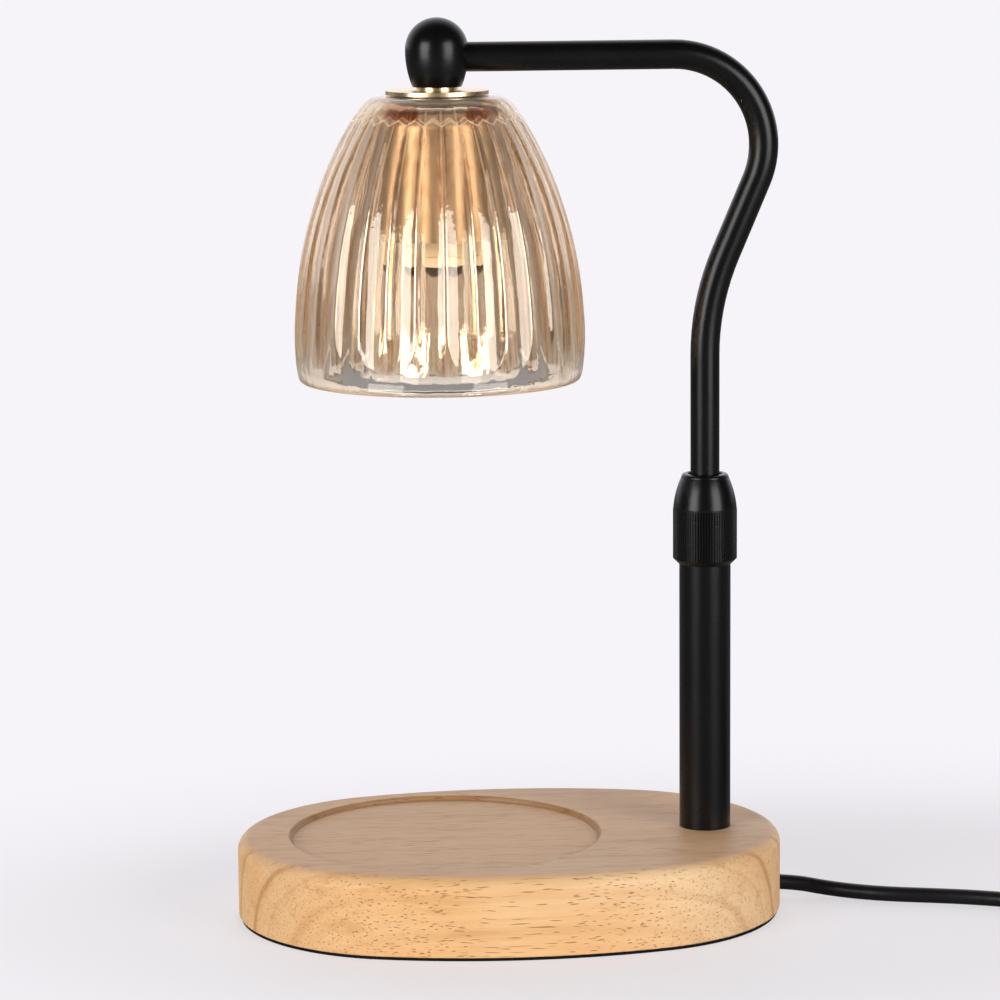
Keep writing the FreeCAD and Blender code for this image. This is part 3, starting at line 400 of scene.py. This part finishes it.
def pressFlutes(shade, opts):
    # column by column, from the middle of each flute to its edge
    axisX, axisY = opts["axis"]
    hollow = opts["hollow"]
    pitch = 2 * pi / opts["flutes"]
    turn = radians(opts["phase"])
    rings = [(round(height, 6), radius, depth) for radius, height, depth in opts["outside"]]
    for spot in shade.data.vertices:
        out = Vector((spot.co.x - axisX, spot.co.y - axisY))
        level = round(spot.co.z, 6)
        height, radius, depth = min(rings, key=lambda ring: abs(ring[0] - level))
        if abs(height - level) > 1e-5 or depth == 0 or abs(out.length - radius) > 1e-4:
            continue
        reach = opts["share"] * pitch * out.length
        deep = reach ** 2 / (8 * hollow) * depth
        aside = (atan2(out.y, out.x) - turn + pitch / 2) % pitch - pitch / 2
        press = max(0.0, deep - (aside * out.length) ** 2 / (2 * hollow))
        if press > 0:
            out = out * (1 - press / out.length)
            spot.co.x = axisX + out.x
            spot.co.y = axisY + out.y


def makeShade(opts):
    deselect()
    axisX, axisY = opts["axis"]
    rings = opts["outside"] + opts["inside"]
    radius, height, depth = rings[0]
    bpy.ops.mesh.primitive_circle_add(vertices=opts["flutes"] * opts["across"], radius=radius,
                                      location=(axisX, axisY, height))
    shade = bpy.context.object
    shade.name = "shadeGlass"
    bpy.ops.object.transform_apply(location=True, rotation=True, scale=True)
    bpy.ops.object.mode_set(mode="EDIT")
    bpy.ops.mesh.select_all(action="SELECT")
    for before, ring in zip(rings, rings[1:]):
        bpy.ops.mesh.extrude_region_move(
            TRANSFORM_OT_translate={"value": (0, 0, ring[1] - before[1])})
        grow = ring[0] / before[0]
        bpy.ops.transform.resize(value=(grow, grow, 1), center_override=(axisX, axisY, 0))
    bpy.ops.object.mode_set(mode="OBJECT")
    pressFlutes(shade, opts)

    # the first and the last ring meet across the hole's wall
    bpy.ops.object.mode_set(mode="EDIT")
    bpy.ops.mesh.select_mode(type="EDGE")
    bpy.ops.mesh.select_all(action="DESELECT")
    bpy.ops.mesh.select_non_manifold()
    bpy.ops.mesh.bridge_edge_loops()
    bpy.ops.mesh.select_mode(type="VERT")
    bpy.ops.mesh.select_all(action="SELECT")
    bpy.ops.mesh.remove_doubles(threshold=0.000001)
    bpy.ops.mesh.normals_make_consistent(inside=False)
    bpy.ops.object.mode_set(mode="OBJECT")
    smooth = shade.modifiers.new("smooth", "SUBSURF")
    smooth.levels = 1
    smooth.render_levels = 1
    bpy.ops.object.modifier_apply(modifier=smooth.name)
    bpy.ops.object.shade_smooth()
    bpy.context.scene.cursor.location = (0, 0, 0)
    bpy.ops.object.origin_set(type="ORIGIN_CURSOR")
    shade.data.materials.append(looks["amber_glass"])
    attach(shade, "neck")
    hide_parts("glass_shade")
    print("shade", len(shade.data.polygons), "faces")


# the finish of each material slot

looks = {
    "wood": oiledWood("oiled rubberwood", woodSet),
    "foam": mouldedPart("foam pad", (0.006, 0.006, 0.006, 1), 0.9, 900.0, 0.0002, 0.3, 0.2),
    "black_metal": blackCoat("black powder coat"),
    "gold": brushedMetal("gold plate", tint(248, 220, 176), 0.30),
    "zinc_steel": brushedMetal("zinc plated steel", tint(190, 192, 196), 0.32),
    "nylon": mouldedPart("natural nylon", tint(228, 224, 212), 0.42),
    "silicone": clearPart("silicone gasket", tint(240, 238, 232), 0.25),
    "satin_steel": brushedMetal("satin steel", tint(184, 168, 146), 0.36, (90.0, 90.0, 1500.0)),
    "ceramic": mouldedPart("white ceramic", tint(240, 236, 226), 0.32, 260.0, 0.00008, 0.06),
    "brass": brushedMetal("brass", tint(214, 178, 104), 0.25),
    "reflector": brushedMetal("mirror reflector", tint(226, 224, 218), 0.10, (300, 300, 300), 0.0001),
    "clear_glass": clearPart("clear glass", tint(250, 250, 248)),
    "cord_pvc": blackCoat("black cord sheath", 0.007, 0.34, 700.0, 0.00008),
    "black_plastic": blackCoat("black moulded plastic", 0.012, 0.45, 2200.0, 0.00008),
    "green_board": mouldedPart("circuit board", tint(30, 92, 52), 0.4, 400.0, 0.00003),
    "amber_glass": lustreGlass("amber lustre glass", lustreSet, shadeSet),
}

for piece in nodes.values():
    slot = piece.data.materials[0].name.split(".")[0]
    piece.data.materials.clear()
    piece.data.materials.append(looks[slot])
print("materials on the frame's nodes")

makeShade(shadeSet)


# cords

cordSet = {
    "radius": 0.0024,
    "toDimmer": [(0.08475, 0.0052, 0.0050), (0.0920, 0.0052, 0.0045), (0.1000, 0.0034, 0.0031),
                 (0.1095, -0.0006, 0.0025), (0.1200, -0.0050, 0.0025), (0.1310, -0.0078, 0.0025),
                 (0.1420, -0.0108, 0.0025), (0.1530, -0.0149, 0.0025), (0.1650, -0.0212, 0.0025),
                 (0.1780, -0.0292, 0.0025), (0.1930, -0.0366, 0.0025), (0.2080, -0.0412, 0.0026),
                 (0.2210, -0.0434, 0.0034), (0.2320, -0.0441, 0.0050), (0.2425, -0.0440, 0.0063),
                 (0.2520, -0.0440, 0.0065)],
    "toCoil": [(0.3440, -0.0440, 0.0065), (0.3535, -0.0437, 0.0063), (0.3640, -0.0404, 0.0046),
               (0.3736, -0.0330, 0.0029), (0.3809, -0.0218, 0.0025), (0.3850, -0.0074, 0.0025),
               (0.3850, 0.0082, 0.0025), (0.3810, 0.0226, 0.0025), (0.3732, 0.0342, 0.0025),
               (0.3623, 0.0420, 0.0025), (0.3490, 0.0458, 0.0025), (0.3310, 0.0464, 0.0025),
               (0.3125, 0.0456, 0.0025), (0.2935, 0.0462, 0.0025), (0.2735, 0.0457, 0.0025)],
    "coil": {"middle": (0.250, 0.010), "outer": 0.0357, "pitch": 0.0056, "layer": 0.0053,
             "turns": 5.5, "low": 0.0025, "perTurn": 16},
    "toPlug": [(0.2635, -0.0259, 0.0077), (0.2730, -0.0251, 0.0060), (0.2825, -0.0226, 0.0035),
               (0.2915, -0.0192, 0.0026), (0.3000, -0.0159, 0.0039), (0.3080, -0.0137, 0.0066),
               (0.3150, -0.0131, 0.0082), (0.3220, -0.0130, 0.0085)],
}


def coilPoints(coil):
    # in along the floor, a climb in the middle, and out again on top
    spots = []
    steps = round(coil["turns"] * coil["perTurn"])
    for step in range(steps + 1):
        turn = step / coil["perTurn"]
        wayIn = min(turn, coil["turns"] - turn)
        radius = coil["outer"] - coil["pitch"] * wayIn
        climb = min(1.0, max(0.0, (turn - coil["turns"] / 2 + 0.25) / 0.5))
        angle = pi / 2 + 2 * pi * turn
        spots.append((coil["middle"][0] + radius * cos(angle),
                      coil["middle"][1] + radius * sin(angle),
                      coil["low"] + coil["layer"] * climb))
    return spots


def makeCord(name, spots):
    curve = bpy.data.curves.new(name, "CURVE")
    curve.dimensions = "3D"
    curve.bevel_depth = cordSet["radius"]
    curve.bevel_resolution = 6
    curve.resolution_u = 6
    curve.use_fill_caps = True
    line = curve.splines.new("NURBS")
    line.points.add(len(spots) - 1)
    for knot, spot in zip(line.points, spots):
        knot.co = (*spot, 1.0)
    line.order_u = 3
    line.use_endpoint_u = True
    line.use_smooth = True
    cord = bpy.data.objects.new(name, curve)
    bpy.context.scene.collection.objects.link(cord)
    curve.materials.append(looks["cord_pvc"])
    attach(cord, "stand")
    return cord


shortCord = makeCord("cordToDimmer", cordSet["toDimmer"])
longCord = makeCord("cordToPlug",
                    cordSet["toCoil"] + coilPoints(cordSet["coil"]) + cordSet["toPlug"])
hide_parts("cord_to_dimmer")
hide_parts("cord_to_coil", "cord_coil", "cord_to_plug")
print("cords laid")


# floor and light

stageSet = {
    "backdrop": tint(246, 244, 248),
    "paper": tint(253, 249, 250),
    "mirrored": (0.05, 0.045, 0.042, 1.0),   # the floor as the lamp's gloss shows it
    "floorSize": 60,
    "floorMiddle": 0.06,                     # X of the middle of the lit patch
    "ambient": (0.94, 0.94, 1.0, 1.0),
    "front": 0.03,
    "behind": 1.2,
    "aim": (0.0, 0.0, 0.13),
    "boxSize": (0.85, 1.3),
    # place, power, colour
    "leftBox": ((-1.22, -1.05, 0.30), 24.0, (1.0, 1.0, 1.0)),
    "rightBox": ((0.98, -1.22, 0.30), 21.5, (1.0, 0.99, 1.0)),
}


def paleFloor(opts):
    # lit paper near the lamp, the backdrop's own tone further out
    net = newNet("pale floor")
    place = net.place()
    x, y, z = net.split(place)
    far = (((x - opts["floorMiddle"]) * 0.62) ** 2.0 + y * y) ** 0.5
    cloud = net.noise(place, 5.0, 2.0)
    lit = net.principled({"Base Color": net.shade(opts["paper"], 0.985 + cloud * 0.03),
                          "Roughness": 0.55, "Specular IOR Level": 0.25,
                          "Normal": net.bump(net.noise(place, 900.0, 2.0), 0.00002)})
    glow = net.add("Emission", None, {"Color": opts["backdrop"], "Strength": 1.0})
    share = far.step(0.085, 0.17) * 0.5 + far.step(0.10, 0.24) * 0.5
    share = (0.60 + share * 0.40) * net.ray("Camera").most(net.ray("Transmission"))
    ground = net.mixed(share, lit, glow)
    # mirrored in the lamp it is a dark table, as in a studio
    table = net.add("Emission", None, {"Color": opts["mirrored"], "Strength": 1.0})
    return net.surface(net.mixed(net.ray("Glossy") * 0.7, ground, table))


def makeFloor(opts):
    deselect()
    bpy.ops.mesh.primitive_plane_add(size=opts["floorSize"], location=(0, 0, 0))
    floor = bpy.context.object
    floor.name = "floor"
    floor.data.materials.append(paleFloor(opts))


def makeWorld(opts):
    # bright behind the lamp, dark in front, where only the softboxes shine
    world = bpy.data.worlds.new("studio")
    bpy.context.scene.world = world
    sky = Net(world)
    backing = sky.add("Background", None, {"Color": opts["backdrop"], "Strength": 1.0})
    heading = sky.split(sky.add("TexCoord", None, None, "Generated"))
    strength = opts["front"] + heading[1].step(0.10, 0.85) * opts["behind"]
    ambient = sky.add("Background", None, {"Color": opts["ambient"], "Strength": strength})
    seen = sky.ray("Camera").most(sky.ray("Transmission"))
    ending = sky.tree.nodes.new("ShaderNodeOutputWorld")
    sky.feed(ending.inputs["Surface"], sky.mixed(seen, ambient, backing))


def softbox(name, opts):
    place, power, color = opts[name]
    light = bpy.data.lights.new(name, "AREA")
    light.shape = "RECTANGLE"
    light.size, light.size_y = opts["boxSize"]
    light.energy = power
    light.color = color
    holder = bpy.data.objects.new(name, light)
    bpy.context.scene.collection.objects.link(holder)
    holder.location = place
    holder.rotation_mode = "QUATERNION"
    holder.rotation_quaternion = (Vector(opts["aim"]) - Vector(place)).to_track_quat("-Z", "Y")
    holder.visible_camera = False


makeFloor(stageSet)
makeWorld(stageSet)
softbox("leftBox", stageSet)
softbox("rightBox", stageSet)
print("floor and lights set")


# camera

camSet = {
    "place": (-0.1013518, -1.1779843, 0.3235833),
    "down": 9.278,                       # degrees
    "right": 4.8174,
    "roll": -0.48,
    "lens": 139.48,
    "sensor": 36.0,
    "clip": (0.05, 100.0),
}


def makeCamera(opts):
    data = bpy.data.cameras.new("camera")
    data.lens = opts["lens"]
    data.sensor_width = opts["sensor"]
    data.clip_start, data.clip_end = opts["clip"]
    camera = bpy.data.objects.new("camera", data)
    bpy.context.scene.collection.objects.link(camera)
    camera.matrix_world = (Matrix.Translation(opts["place"])
                           @ Matrix.Rotation(radians(-opts["right"]), 4, "Z")
                           @ Matrix.Rotation(radians(90 - opts["down"]), 4, "X")
                           @ Matrix.Rotation(radians(opts["roll"]), 4, "Z"))
    bpy.context.scene.camera = camera


makeCamera(camSet)
bpy.context.scene.view_settings.view_transform = "Standard"

print("scene ready")
